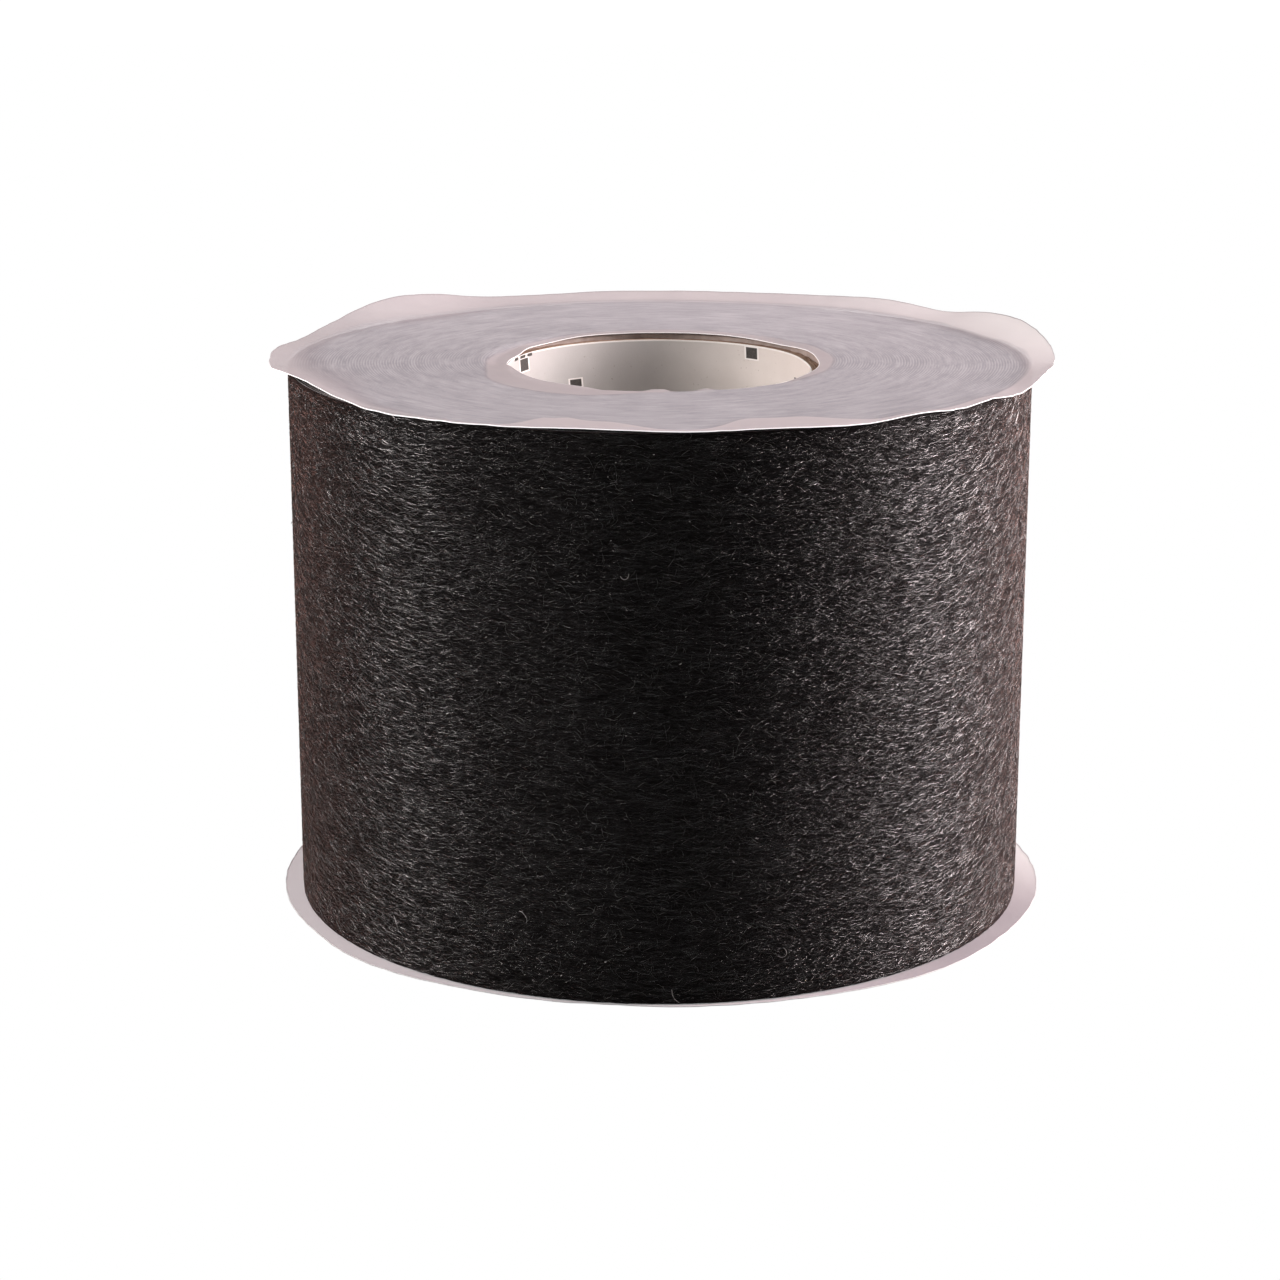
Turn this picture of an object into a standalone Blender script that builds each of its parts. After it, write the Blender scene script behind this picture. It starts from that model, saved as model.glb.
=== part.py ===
"""A roll of fleece-backed sealing tape on a spiral-wound paperboard core.

The tape is a web of three layers: black non-woven fleece outside, adhesive, and a release liner inside. Most of
its turns are one solid ring. The last turn and the free end at the back are modelled layer by layer. A loose
sheet of translucent film lies on each face of the roll and stands a few millimetres past its rim.

The origin is on the core's axis, half-way along the tape's width, with +Z along the axis and -Y to the front.
"""

import math

import bmesh
import bpy

# Driving dimensions, in millimetres. Angles are in degrees.
TAPE_WIDTH = 136.0
ROLL_RADIUS = 93.0
BORE_RADIUS = 38.1
CORE_WALL = 5.4
CORE_RECESS = 1.0
CORE_PLIES = 6
CORE_LINER = 0.3

RELEASE_LINER = 0.08
ADHESIVE = 0.17
FLEECE = 0.30
GAP = 0.05

STARTER_STRIP = 0.2
STARTER_FROM = 10.0
STARTER_TO = 35.0
STARTER_MARGIN = 6.0

TAPE_END_AT = 80.0
TAPE_END_ARC = 25.0
TAPE_END_SLIT = 0.2

DISC_THICKNESS = 0.3
DISC_GAP = 0.1
DISC_HOLE_RADIUS = 41.0
TOP_HOLE_CENTRE = (0.0, -0.9)
TOP_DISC_RADIUS = 98.4
TOP_DISC_CENTRE = (1.1, 5.4)
BOTTOM_HOLE_CENTRE = (0.0, 0.0)
BOTTOM_DISC_RADIUS = 97.6
BOTTOM_DISC_CENTRE = (0.4, 3.5)

# The top sheet's rim lifts off the roll in soft bumps: centre angle, height and half width of each.
TOP_RIM_BUMPS = [
    (75.0, 1.6, 48.0),
    (136.0, 3.6, 9.0),
    (24.0, 3.6, 11.0),
    (-153.0, 3.0, 9.0),
    (-8.0, 1.4, 10.0),
]
RIM_STARTS = 0.7

# Worked out from the driving dimensions.
MM = 0.001
STEP = 5.0
HALF_WIDTH = TAPE_WIDTH / 2
CORE_HALF_WIDTH = HALF_WIDTH - CORE_RECESS
CORE_RADIUS = BORE_RADIUS + CORE_WALL
PLY_PITCH = (CORE_WALL - CORE_LINER) / CORE_PLIES
WEB = RELEASE_LINER + ADHESIVE + FLEECE + 3 * GAP
PACK_BORE = CORE_RADIUS + STARTER_STRIP + 2 * GAP
PACK_RADIUS = ROLL_RADIUS - 1.5 * WEB
HINGE_RADIUS = PACK_RADIUS + 2 * WEB


def clear_scene():
    for obj in list(bpy.data.objects):
        bpy.data.objects.remove(obj, do_unlink=True)


def make_collection(name):
    collection = bpy.data.collections.new(name)
    bpy.context.scene.collection.children.link(collection)
    return collection


def make_material(name, colour, roughness, alpha=1.0):
    """A Principled material. None of the roll's pieces is metal."""
    material = bpy.data.materials.new(name)
    material.use_nodes = True
    shader = material.node_tree.nodes["Principled BSDF"]
    shader.inputs["Base Color"].default_value = (*colour, 1.0)
    shader.inputs["Roughness"].default_value = roughness
    shader.inputs["Metallic"].default_value = 0.0
    shader.inputs["Alpha"].default_value = alpha
    material.diffuse_color = (*colour, alpha)
    return material


def polar(radius, angle, height):
    """The point, in metres, at a radius and height in millimetres and an angle in degrees."""
    turn = math.radians(angle)
    return (radius * math.cos(turn) * MM, radius * math.sin(turn) * MM, height * MM)


def add_object(name, mesh, collection, material):
    mesh.materials.append(material)
    obj = bpy.data.objects.new(name, mesh)
    collection.objects.link(obj)
    return obj


def apply_modifiers(obj):
    """Makes the modifiers' result the object's own mesh, smooth on its round sides and sharp at its edges."""
    bpy.context.view_layer.update()
    graph = bpy.context.evaluated_depsgraph_get()
    mesh = bpy.data.meshes.new_from_object(obj.evaluated_get(graph))
    obj.modifiers.clear()
    obj.data = mesh
    mesh.name = obj.name
    mesh.shade_smooth()
    mesh.set_sharp_from_angle(angle=math.radians(30))


def turned_ring(name, inner, outer, half_height, collection, material):
    """A plain tube about the Z axis: a rectangle, down its outer side first, turned by a Screw modifier."""
    corners = [(outer, half_height), (outer, -half_height), (inner, -half_height), (inner, half_height)]
    mesh = bpy.data.meshes.new(name)
    points = [polar(radius, 0.0, height) for radius, height in corners]
    mesh.from_pydata(points, [(0, 1), (1, 2), (2, 3), (3, 0)], [])
    obj = add_object(name, mesh, collection, material)
    screw = obj.modifiers.new("Turn", "SCREW")
    screw.steps = int(360 / STEP)
    screw.render_steps = screw.steps
    screw.use_merge_vertices = True
    screw.merge_threshold = 1e-6
    apply_modifiers(obj)
    return obj


def bent_grid(name, columns, rows, place, collection, material):
    """A flat grid whose corners (u, v), both from 0 to 1, are moved to place(u, v). Sides that meet are joined."""
    bm = bmesh.new()
    bmesh.ops.create_grid(bm, x_segments=columns, y_segments=rows, size=0.5)
    for vertex in bm.verts:
        vertex.co = place(vertex.co.x + 0.5, vertex.co.y + 0.5)
    bmesh.ops.remove_doubles(bm, verts=bm.verts, dist=1e-6)
    bmesh.ops.recalc_face_normals(bm, faces=bm.faces)
    mesh = bpy.data.meshes.new(name)
    bm.to_mesh(mesh)
    bm.free()
    return add_object(name, mesh, collection, material)


def solidify(obj, thickness):
    """Gives an open surface its thickness, half to each side."""
    shell = obj.modifiers.new("Thickness", "SOLIDIFY")
    shell.thickness = thickness * MM
    shell.offset = 0.0
    apply_modifiers(obj)


def web_radius(turned):
    """The radius of the web's inner face, at an angle past the start of the last turn."""
    return PACK_RADIUS + WEB * turned / 360


def web_layer(name, start, stop, inset, thickness, collection, material):
    """One layer of the web from start to stop, its inner face inset from the web's. It is wound on a spiral."""

    def place(u, v):
        turned = start + (stop - start) * u
        on_grid = round(turned / STEP) * STEP
        if start < on_grid < stop:
            turned = on_grid
        radius = web_radius(turned) + inset + thickness / 2
        return polar(radius, TAPE_END_AT + turned, HALF_WIDTH * (2 * v - 1))

    layer = bent_grid(name, math.ceil((stop - start) / STEP), 1, place, collection, material)
    solidify(layer, thickness)
    return layer


def web_layers(prefix, start, stop, collection, materials):
    """The web's three layers, from the inside out."""
    inset = GAP
    layers = []
    for part, thickness in (("release_liner", RELEASE_LINER), ("adhesive", ADHESIVE), ("fleece", FLEECE)):
        name = f"{prefix}_{part}"
        layers.append(web_layer(name, start, stop, inset, thickness, collection, materials[part]))
        inset += thickness + GAP
    return layers


def build_core(collection, materials):
    """White lining paper, then plies of grey-brown board, all wound on each other and glued."""
    turned_ring(
        "core_inner_liner",
        BORE_RADIUS,
        BORE_RADIUS + CORE_LINER,
        CORE_HALF_WIDTH,
        collection,
        materials["lining_paper"],
    )
    for number in range(CORE_PLIES):
        inner = BORE_RADIUS + CORE_LINER + GAP + number * PLY_PITCH
        outer = inner + PLY_PITCH - GAP
        name = f"core_ply_{number + 1}"
        turned_ring(name, inner, outer, CORE_HALF_WIDTH, collection, materials["board"])


def build_starter_strip(collection, materials):
    """The double-sided strip that fixes the tape's inner end to the core, across the core's width."""
    height = CORE_HALF_WIDTH - STARTER_MARGIN

    def place(u, v):
        angle = STARTER_FROM + (STARTER_TO - STARTER_FROM) * u
        return polar(CORE_RADIUS + GAP + STARTER_STRIP / 2, angle, height * (2 * v - 1))

    columns = int((STARTER_TO - STARTER_FROM) / STEP)
    strip = bent_grid("core_starter_strip", columns, 1, place, collection, materials["starter_strip"])
    solidify(strip, STARTER_STRIP)


def build_pack(collection, materials):
    """All turns but the last, as one ring. Its outer face is one turn of the web's spiral, with its step."""
    section = [(False, 1), (True, 1), (True, -1), (False, -1), (False, 1)]
    columns = int(360 / STEP)

    def place(u, v):
        turned = (round(u * columns) % columns) * STEP
        outside, side = section[round(v * 4)]
        radius = web_radius(turned) if outside else PACK_BORE
        return polar(radius, TAPE_END_AT + turned, side * HALF_WIDTH)

    pack = bent_grid("wound_tape_pack", columns, 4, place, collection, materials["tape_edges"])
    apply_modifiers(pack)


def build_tape_end(collection, materials):
    """The last stretch of the tape. It turns on the line where it leaves the roll, at its outer face."""
    hinge = bpy.data.objects.new("tape_end_hinge", None)
    hinge.location = polar(HINGE_RADIUS, TAPE_END_AT, 0.0)
    collection.objects.link(hinge)
    bpy.context.view_layer.update()
    start = 360 + TAPE_END_SLIT
    for layer in web_layers("tape_end", start, 360 + TAPE_END_ARC, collection, materials):
        layer.parent = hinge
        layer.matrix_parent_inverse = hinge.matrix_world.inverted()


def rim_lift(angle, bumps):
    """The rim's height above the flat of the sheet."""
    lift = 0.0
    for centre, height, width in bumps:
        away = (angle - centre + 180) % 360 - 180
        lift += height * math.exp(-((away / width) ** 2))
    return lift


def side_disc(name, hole_centre, radius, centre, middle, bumps, collection, material):
    """A round sheet with a hole, flat on the roll, whose rim follows the bumps. middle is its mid-plane's height."""
    fractions = [0.0, 0.4, RIM_STARTS, 0.8, 0.9, 1.0]

    def place(u, v):
        angle = 360 * u
        along = fractions[round(v * (len(fractions) - 1))]
        hole = polar(DISC_HOLE_RADIUS, angle, middle)
        rim = polar(radius, angle, middle)
        hole_x = hole[0] + hole_centre[0] * MM
        hole_y = hole[1] + hole_centre[1] * MM
        x = hole_x + (rim[0] + centre[0] * MM - hole_x) * along
        y = hole_y + (rim[1] + centre[1] * MM - hole_y) * along
        rise = max(0.0, (along - RIM_STARTS) / (1 - RIM_STARTS))
        lift = rim_lift(angle, bumps) * rise * rise * (3 - 2 * rise)
        return (x, y, hole[2] + lift * MM)

    disc = bent_grid(name, int(360 / STEP), len(fractions) - 1, place, collection, material)
    solidify(disc, DISC_THICKNESS)


def build_discs(collection, materials):
    middle = HALF_WIDTH + DISC_GAP + DISC_THICKNESS / 2
    film = materials["film"]
    top = (TOP_HOLE_CENTRE, TOP_DISC_RADIUS, TOP_DISC_CENTRE, middle, TOP_RIM_BUMPS)
    bottom = (BOTTOM_HOLE_CENTRE, BOTTOM_DISC_RADIUS, BOTTOM_DISC_CENTRE, -middle, [])
    side_disc("top_side_disc", *top, collection, film)
    side_disc("bottom_side_disc", *bottom, collection, film)


def main():
    clear_scene()
    collection = make_collection("sealing_tape_roll")
    materials = {
        "lining_paper": make_material("lining_paper", (0.72, 0.69, 0.62), 0.75),
        "board": make_material("board", (0.30, 0.20, 0.13), 0.9),
        "starter_strip": make_material("starter_strip", (0.75, 0.74, 0.70), 0.4),
        "tape_edges": make_material("tape_edges", (0.03, 0.03, 0.032), 0.6),
        "fleece": make_material("fleece", (0.012, 0.012, 0.013), 0.85),
        "adhesive": make_material("adhesive", (0.05, 0.05, 0.052), 0.25),
        "release_liner": make_material("release_liner", (0.62, 0.62, 0.64), 0.35),
        "film": make_material("film", (0.68, 0.64, 0.66), 0.4, alpha=0.7),
    }
    build_core(collection, materials)
    build_starter_strip(collection, materials)
    build_pack(collection, materials)
    web_layers("outer_turn", 0.0, 360.0, collection, materials)
    build_tape_end(collection, materials)
    build_discs(collection, materials)


main()
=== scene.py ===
"""The looks of a roll of fleece-backed sealing tape with a translucent film disc on each face.

Lengths named here are in millimetres unless a name says otherwise, and MM turns them into the scene's metres.
Angles are in degrees about the roll's axis, from +X towards +Y, and -Y is the front. The web is the tape's
three layers together. A place along it is given as turned, the angle wound past the start of the last turn.
"""

import math

import bmesh
import bpy
import numpy as np
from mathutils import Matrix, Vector


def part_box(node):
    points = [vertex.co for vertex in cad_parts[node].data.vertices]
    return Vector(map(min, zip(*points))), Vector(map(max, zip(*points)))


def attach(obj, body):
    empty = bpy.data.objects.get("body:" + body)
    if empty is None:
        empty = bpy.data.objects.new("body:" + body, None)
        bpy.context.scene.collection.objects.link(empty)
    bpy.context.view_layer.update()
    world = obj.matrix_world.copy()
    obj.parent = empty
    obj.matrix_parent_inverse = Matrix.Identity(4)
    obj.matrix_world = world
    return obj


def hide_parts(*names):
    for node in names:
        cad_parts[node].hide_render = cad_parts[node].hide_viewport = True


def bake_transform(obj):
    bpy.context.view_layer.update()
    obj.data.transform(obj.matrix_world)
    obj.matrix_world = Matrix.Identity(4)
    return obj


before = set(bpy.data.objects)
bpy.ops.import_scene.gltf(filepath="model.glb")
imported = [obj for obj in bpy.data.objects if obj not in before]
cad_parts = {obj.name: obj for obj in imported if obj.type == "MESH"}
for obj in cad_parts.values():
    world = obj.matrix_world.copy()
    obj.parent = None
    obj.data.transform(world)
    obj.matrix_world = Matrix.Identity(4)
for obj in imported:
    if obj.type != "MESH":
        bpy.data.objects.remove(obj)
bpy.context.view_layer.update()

MM = 0.001


def radii(node):
    """The least and greatest distance of a node's corners from the axis, in millimetres."""
    far = [math.hypot(v.co.x, v.co.y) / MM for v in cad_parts[node].data.vertices]
    return min(far), max(far)


# Sizes read from the CAD parts in model.glb.
HALF_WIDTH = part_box("wound_tape_pack")[1].z / MM
CORE_HALF_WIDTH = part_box("core_ply_1")[1].z / MM
BORE_RADIUS = radii("core_inner_liner")[0]
PACK_BORE = radii("wound_tape_pack")[0]
DISC_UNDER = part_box("top_side_disc")[0].z / MM

# The web's layers and the tape's end, as in the CAD. The pack's radius is one gap more than the CAD's.
RELEASE_LINER = 0.08
ADHESIVE = 0.17
FLEECE = 0.30
GAP = 0.05
WEB = RELEASE_LINER + ADHESIVE + FLEECE + 3 * GAP
TAPE_END_AT = 80.0
TAPE_END_ARC = 25.0
HINGE_RADIUS = radii("outer_turn_fleece")[1]
PACK_RADIUS = round(HINGE_RADIUS - 2 * WEB + GAP, 2)
PACK_TURNS = 69
ARC_PER_DEGREE = math.radians(PACK_RADIUS + WEB)
WEB_STOP = 360 + TAPE_END_ARC
BORE_ARC = math.radians(BORE_RADIUS)

# The side discs. Their centres and the top hole are a little off the axis, as in the CAD, whose film is 0.3.
DISC_FILM = 0.20
HOLE_RADIUS = 41.0
TOP_HOLE_CENTRE = (0.0, -0.9)
TOP_DISC_RADIUS = 98.4
TOP_DISC_CENTRE = (1.1, 5.4)
BOTTOM_DISC_RADIUS = 97.6
BOTTOM_DISC_CENTRE = (0.4, 3.5)


def add_object(name, data):
    """A new object in the scene, of this mesh, camera or light."""
    obj = bpy.data.objects.new(name, data)
    bpy.context.collection.objects.link(obj)
    return obj


# ------------------------ view

CAMERA_PLACE = (-4.8, -745.3, 200.0)
CAMERA_TILT = 15.39
CAMERA_SENSOR, CAMERA_LENS = 36.0, 84.15
# How far the floor is under the roll, its size in metres, and how light it is to all but the camera.
FLOOR_DROP, FLOOR_ACROSS, FLOOR_GREY = 0.2, 6.0, 0.10
SEEN_STRENGTH, LIT_STRENGTH = 1.1, 0.05

# The soft boxes: azimuth, elevation, distance and size in metres, power and colour.
LIGHTS = {
    "left_box": (-81, 24, 1.1, (0.40, 0.5), 9.4, (1.0, 0.92, 0.90)),
    "left_rim": (-126, 15, 1.1, (0.3, 0.6), 1.7, (1.0, 0.50, 0.42)),
    "right_box": (96, 22, 1.1, (0.60, 0.6), 25, (1.0, 0.88, 0.88)),
    "right_rim": (128, 15, 1.1, (0.3, 0.6), 2.6, (1.0, 0.55, 0.48)),
    "top_box": (0, 86, 1.2, (0.9, 0.9), 5.5, (1, 1, 1)),
}


def make_camera():
    """A long lens, a little above the roll, looking down on it."""
    camera = add_object("camera", bpy.data.cameras.new("camera"))
    camera.data.sensor_width = CAMERA_SENSOR
    camera.data.lens = CAMERA_LENS
    camera.location = [value * MM for value in CAMERA_PLACE]
    camera.rotation_euler = (math.radians(90 - CAMERA_TILT), 0.0, 0.0)
    camera.data.clip_start = 0.01
    bpy.context.scene.camera = camera


def make_light(name, azimuth, elevation, distance, size, power, colour):
    """A soft box that faces the roll. Azimuth 0 is at the camera's side and 90 is on the right."""
    light = bpy.data.lights.new(name, "AREA")
    light.shape = "RECTANGLE"
    light.size, light.size_y = size
    light.energy = power
    light.color = colour
    turn, rise = math.radians(azimuth), math.radians(elevation)
    toward = Vector((math.sin(turn) * math.cos(rise), -math.cos(turn) * math.cos(rise), math.sin(rise)))
    lamp = add_object(name, light)
    lamp.location = toward * distance
    lamp.rotation_euler = toward.to_track_quat("Z", "Y").to_euler()


def show_camera(tree, seen, other, target):
    """Joins the target to one shader for the camera's own rays and to another for all the rest."""
    ray, mix = tree.nodes.new("ShaderNodeLightPath"), tree.nodes.new("ShaderNodeMixShader")
    tree.links.new(ray.outputs["Is Camera Ray"], mix.inputs["Fac"])
    tree.links.new(other, mix.inputs[1])
    tree.links.new(seen, mix.inputs[2])
    tree.links.new(mix.outputs["Shader"], target)


def make_surroundings():
    """White floor and background, and soft boxes at both sides and overhead."""
    world = bpy.data.worlds.new("studio")
    bpy.context.scene.world = world
    world.use_nodes = True
    nodes = world.node_tree.nodes
    seen, lit = nodes.new("ShaderNodeBackground"), nodes["Background"]
    for background, strength in ((seen, SEEN_STRENGTH), (lit, LIT_STRENGTH)):
        background.inputs["Color"].default_value = (1, 1, 1, 1)
        background.inputs["Strength"].default_value = strength
    surface = nodes["World Output"].inputs["Surface"]
    show_camera(world.node_tree, seen.outputs["Background"], lit.outputs["Background"], surface)

    floor_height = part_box("bottom_side_disc")[0].z - FLOOR_DROP * MM
    bpy.ops.mesh.primitive_plane_add(size=FLOOR_ACROSS, location=(0, 0, floor_height))
    floor = bpy.context.object
    floor.name = "floor"
    material = bpy.data.materials.new("floor")
    material.use_nodes = True
    nodes = material.node_tree.nodes
    glow, body = nodes.new("ShaderNodeEmission"), nodes["Principled BSDF"]
    glow.inputs["Strength"].default_value = 1.0
    body.inputs["Base Color"].default_value = (FLOOR_GREY, FLOOR_GREY, FLOOR_GREY, 1)
    surface = nodes["Material Output"].inputs["Surface"]
    show_camera(material.node_tree, glow.outputs["Emission"], body.outputs["BSDF"], surface)
    floor.data.materials.append(material)

    for name, values in LIGHTS.items():
        make_light(name, *values)
    scene = bpy.context.scene
    scene.view_settings.view_transform = "Standard"
    scene.view_settings.look = "None"


# ------------------------ node helpers

class Shader:
    """A material being built: one Principled shader and short ways to add and join nodes."""

    def __init__(self, name):
        self.material = bpy.data.materials.new(name)
        self.material.use_nodes = True
        self.nodes = self.material.node_tree.nodes
        self.links = self.material.node_tree.links
        self.principled = self.nodes["Principled BSDF"]

    def join(self, source, target):
        self.links.new(source, target)

    def put(self, **values):
        """Sets or joins the Principled shader's own sockets, named with _ for a space."""
        for name, value in values.items():
            socket = self.principled.inputs[name.replace("_", " ")]
            if isinstance(value, bpy.types.NodeSocket):
                self.join(value, socket)
            elif isinstance(value, tuple) and len(value) == 3:
                socket.default_value = (*value, 1.0)
            else:
                socket.default_value = value

    def attribute(self, name, output="Vector"):
        node = self.nodes.new("ShaderNodeAttribute")
        node.attribute_name = name
        return node.outputs[output]

    def place(self):
        """Where the point is on the object, in millimetres."""
        node = self.nodes.new("ShaderNodeTexCoord")
        scaled = self.nodes.new("ShaderNodeVectorMath")
        scaled.operation = "SCALE"
        scaled.inputs["Scale"].default_value = 1 / MM
        self.join(node.outputs["Object"], scaled.inputs[0])
        return scaled.outputs["Vector"]

    def split(self, vector):
        node = self.nodes.new("ShaderNodeSeparateXYZ")
        self.join(vector, node.inputs[0])
        return node.outputs

    def math(self, operation, a, b=None, c=None):
        node = self.nodes.new("ShaderNodeMath")
        node.operation = operation
        for socket, value in zip(node.inputs, (a, b, c)):
            if value is None:
                continue
            if isinstance(value, (int, float)):
                socket.default_value = value
            else:
                self.join(value, socket)
        return node.outputs[0]

    def times(self, a, b):
        return self.math("MULTIPLY", a, b)

    def most(self, first, *others):
        """The greatest of several numbers."""
        for other in others:
            first = self.math("MAXIMUM", first, other)
        return first

    def mapped(self, vector, scale, angle=0.0, offset=(0, 0, 0)):
        """The vector turned by the angle and divided by the scale."""
        node = self.nodes.new("ShaderNodeMapping")
        node.vector_type = "TEXTURE"
        node.inputs["Scale"].default_value = scale
        node.inputs["Rotation"].default_value = (0, 0, math.radians(angle))
        node.inputs["Location"].default_value = offset
        self.join(vector, node.inputs["Vector"])
        return node.outputs["Vector"]

    def noise(self, vector, scale=1.0, detail=2.0, rough=0.5, distortion=0.0, flat=False):
        node = self.nodes.new("ShaderNodeTexNoise")
        node.noise_dimensions = "2D" if flat else "3D"
        node.inputs["Scale"].default_value = scale
        node.inputs["Detail"].default_value = detail
        node.inputs["Roughness"].default_value = rough
        node.inputs["Distortion"].default_value = distortion
        self.join(vector, node.inputs["Vector"])
        return node.outputs["Fac"]

    def ramp(self, value, *stops):
        """A colour ramp with (position, grey or colour) stops."""
        node = self.nodes.new("ShaderNodeValToRGB")
        elements = node.color_ramp.elements
        while len(elements) < len(stops):
            elements.new(0.5)
        for element, (position, colour) in zip(elements, stops):
            element.position = position
            rgb = (colour,) * 3 if isinstance(colour, (int, float)) else colour
            element.color = (*rgb, 1.0)
        self.join(value, node.inputs["Fac"])
        return node.outputs["Color"]

    def step(self, value, low, high):
        """0 below low, 1 above high and a straight rise between."""
        node = self.nodes.new("ShaderNodeMapRange")
        node.inputs["From Min"].default_value = low
        node.inputs["From Max"].default_value = high
        self.join(value, node.inputs["Value"])
        return node.outputs["Result"]

    def blend(self, amount, a, b, way="MIX"):
        """Colour a to colour b by the amount."""
        node = self.nodes.new("ShaderNodeMix")
        node.data_type = "RGBA"
        node.blend_type = way
        for index, value in ((0, amount), (6, a), (7, b)):
            if isinstance(value, (int, float)):
                node.inputs[index].default_value = value
            elif isinstance(value, tuple):
                node.inputs[index].default_value = (*value, 1.0)
            else:
                self.join(value, node.inputs[index])
        return node.outputs[2]

    def dyed(self, colour, tint):
        """The colour multiplied by a tint."""
        return self.blend(1.0, colour, tint, "MULTIPLY")

    def from_axis(self, x, y):
        """How far a point is from the roll's axis."""
        return self.math("SQRT", self.math("ADD", self.times(x, x), self.times(y, y)))

    def bump(self, height, distance):
        """A bump of that many millimetres."""
        node = self.nodes.new("ShaderNodeBump")
        node.inputs["Strength"].default_value = 1.0
        node.inputs["Distance"].default_value = distance * MM
        self.join(height, node.inputs["Height"])
        return node.outputs["Normal"]


# ------------------------ materials

def fibre_relief(shader, web, headings, length, width):
    """Streaks like fibres lying over each other, at several headings, from 0 to 1."""
    streaks = []
    for number, heading in enumerate(headings):
        stretched = shader.mapped(web, (length, width, 1.0), heading, (7.3 * number, 3.1 * number, 0.0))
        cloud = shader.noise(stretched, 1.0, 0.0, 0.5, 0.5, flat=True)
        streaks.append(shader.step(cloud, 0.47, 0.72))
    return shader.most(*streaks)


def fleece_material():
    """Black non-woven fleece: fibres bonded flat, most of them along the tape, with a faint brown sheen."""
    shader = Shader("black_fleece")
    web = shader.attribute("web")
    height = fibre_relief(shader, web, (2, -9, 17, -28, 48), 7.0, 0.45)
    clouds = shader.noise(web, 0.22, 4.0, 0.6, flat=True)
    tone = shader.ramp(clouds, (0.3, (0.0022, 0.0018, 0.0018)), (0.7, (0.0052, 0.0042, 0.0041)))
    shader.put(Base_Color=tone, Sheen_Weight=0.25, Sheen_Roughness=0.24)
    shader.put(Roughness=shader.ramp(height, (0.05, 0.8), (0.5, 0.40)))
    shader.put(Sheen_Tint=(1.0, 0.62, 0.55, 1.0), Specular_IOR_Level=0.10)
    shader.put(Normal=shader.bump(height, 0.14))
    return shader.material


def fibre_material(name, colour, roughness, gloss=1.6):
    """Single fibres, smooth and glossy. gloss is the index of refraction."""
    shader = Shader(name)
    shader.put(Base_Color=colour, Roughness=roughness, IOR=gloss, Specular_IOR_Level=1.0)
    return shader.material


def liner_material():
    """Siliconised release paper, pale grey and satin."""
    shader = Shader("release_liner")
    cloud = shader.noise(shader.place(), 0.6, 4.0)
    shader.put(Base_Color=shader.ramp(cloud, (0.3, (0.50, 0.50, 0.52)), (0.7, (0.60, 0.60, 0.62))))
    shader.put(Roughness=0.35, Coat_Weight=0.15, Normal=shader.bump(shader.noise(shader.place(), 3.0), 0.01))
    return shader.material


def adhesive_material():
    """Black tacky acrylic, glossy where it is bare."""
    shader = Shader("adhesive")
    cloud = shader.noise(shader.place(), 0.9, 3.0)
    shader.put(Base_Color=shader.ramp(cloud, (0.3, (0.018, 0.018, 0.020)), (0.7, (0.032, 0.032, 0.034))))
    shader.put(Roughness=0.22, Normal=shader.bump(cloud, 0.03))
    return shader.material


def pack_material():
    """The wound turns' edges: black fleece, dark adhesive and a thin pale line of liner in each turn."""
    shader = Shader("wound_edges")
    turn = shader.attribute("turn", "Fac")
    layer = shader.math("FRACT", turn)
    layers = shader.ramp(
        layer,
        (0.0, (0.012, 0.012, 0.013)),
        (0.06, (0.72, 0.70, 0.69)),
        (0.16, (0.72, 0.70, 0.69)),
        (0.22, (0.035, 0.035, 0.038)),
        (0.50, (0.012, 0.012, 0.013)),
        (1.0, (0.008, 0.008, 0.009)),
    )
    place = shader.place()
    fuzz = shader.noise(place, 2.2, 4.0, 0.7)
    patchy = shader.noise(place, 0.12, 3.0, 0.6)
    worn = shader.step(shader.times(fuzz, patchy), 0.12, 0.42)
    shader.put(Base_Color=shader.blend(worn, (0.011, 0.011, 0.012), layers))
    shader.put(Roughness=0.62, Specular_IOR_Level=0.35, Normal=shader.bump(fuzz, 0.12))
    return shader.material


def board_material(name, dark, light):
    """Grey-brown recycled board, fibrous and a little torn where it was cut."""
    shader = Shader(name)
    place = shader.place()
    clouds = shader.noise(place, 0.35, 5.0, 0.65)
    grain = shader.noise(shader.mapped(place, (0.5, 0.5, 2.5)), 1.0, 4.0, 0.7)
    colour = shader.ramp(clouds, (0.3, dark), (0.7, light))
    flecks = shader.step(grain, 0.62, 0.72)
    shader.put(Base_Color=shader.blend(shader.times(flecks, 0.6), colour, (0.50, 0.42, 0.34)))
    shader.put(Roughness=0.9, Specular_IOR_Level=0.2, Normal=shader.bump(grain, 0.12))
    return shader.material


def patch(shader, bore, angle, height, width, tall, lean=0.0):
    """1 inside an upright rectangle on the bore, with its middle at an angle and height, and 0 outside it."""
    along = shader.math("SUBTRACT", bore[0], angle * BORE_ARC)
    up = shader.math("SUBTRACT", bore[1], height)
    slid = shader.math("SUBTRACT", along, shader.times(up, lean))
    inside = shader.math("SUBTRACT", width / 2, shader.math("ABSOLUTE", slid))
    below = shader.math("SUBTRACT", tall / 2, shader.math("ABSOLUTE", up))
    return shader.step(shader.math("MINIMUM", inside, below), -0.02, 0.08)


# Printed squares on the lining: the middle's angle and height, how wide and tall, and how far each leans.
PRINTED_SQUARES = [
    (155.0, 63.9, 4.6, 3.3, 0.15),
    (124.6, 56.3, 3.6, 2.1, 0.10),
    (50.2, 64.6, 3.7, 3.0, 0.05),
]
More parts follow.
